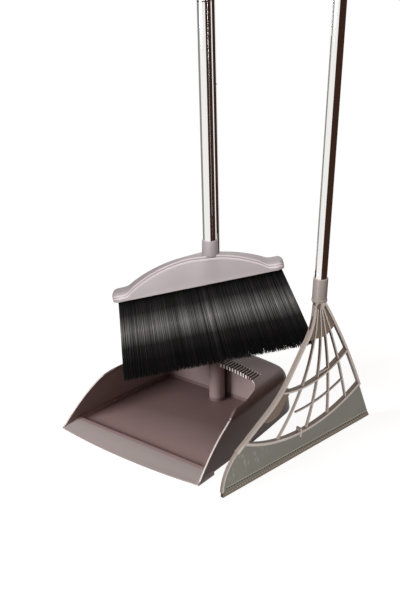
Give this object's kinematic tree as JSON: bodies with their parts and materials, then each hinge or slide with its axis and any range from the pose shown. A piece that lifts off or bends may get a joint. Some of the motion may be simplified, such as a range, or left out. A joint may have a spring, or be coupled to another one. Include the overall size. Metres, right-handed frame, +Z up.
{
  "type": "dust pan, broom and squeegee set",
  "caption": "Upright dust pan with a hooded comb, a soft broom clipped to its steel pole, and a fan-framed floor squeegee with a silicone blade standing beside it.",
  "frame": {"origin": "on the dust pan pole's axis, at floor level under the pan", "axes": "+Z up along the dust pan's pole, -Y out of the pan's mouth, +X to the right seen from the mouth, where the squeegee stands"},
  "size_m": [0.4128, 0.3375, 0.9375],
  "materials": {
    "pan_plastic": "satin moulded, brown mauve",
    "head_plastic": "satin moulded, pale mauve grey",
    "fan_plastic": "satin moulded, beige grey",
    "plug_plastic": "moulded, dark",
    "pole_steel": "polished stainless tube",
    "bristle": "drawn strands, black",
    "silicone": "matte silicone, grey green"
  },
  "bodies": {
    "dustpan": {"pan_tray": "pan_plastic", "dustpan_pole_plug": "plug_plastic", "dustpan_pole_lower": "pole_steel", "dustpan_pole_spigot": "plug_plastic", "dustpan_pole_upper": "pole_steel", "dustpan_grip": "pan_plastic"},
    "clip": {"pole_clip": "head_plastic"},
    "broom": {"broom_head_cover": "head_plastic", "broom_bristle_block": "head_plastic", "broom_bristles": "bristle", "broom_pole_plug": "plug_plastic", "broom_pole_lower": "pole_steel", "broom_pole_spigot": "plug_plastic", "broom_pole_upper": "pole_steel", "broom_grip": "pan_plastic"},
    "squeegee": {"squeegee_frame": "fan_plastic", "squeegee_blade": "silicone", "squeegee_collar": "fan_plastic", "squeegee_pole_plug": "plug_plastic", "squeegee_pole_lower": "pole_steel", "squeegee_pole_spigot": "plug_plastic", "squeegee_pole_upper": "pole_steel", "squeegee_grip": "fan_plastic"}
  },
  "joints": [
    {"name": "clip_swivel", "type": "hinge", "parent": "dustpan", "child": "clip", "pos_m": [0, 0, 0.7], "axis": [0, 0, 1], "range_deg": [-5, 45]},
    {"name": "broom_slide", "type": "slide", "parent": "clip", "child": "broom", "axis": [0, 0, 1], "range_m": [-0.015, 0.36]},
    {"name": "squeegee_lift", "type": "slide", "parent": "dustpan", "child": "squeegee", "axis": [0, 0, 1], "range_m": [0, 0.3]}
  ]
}
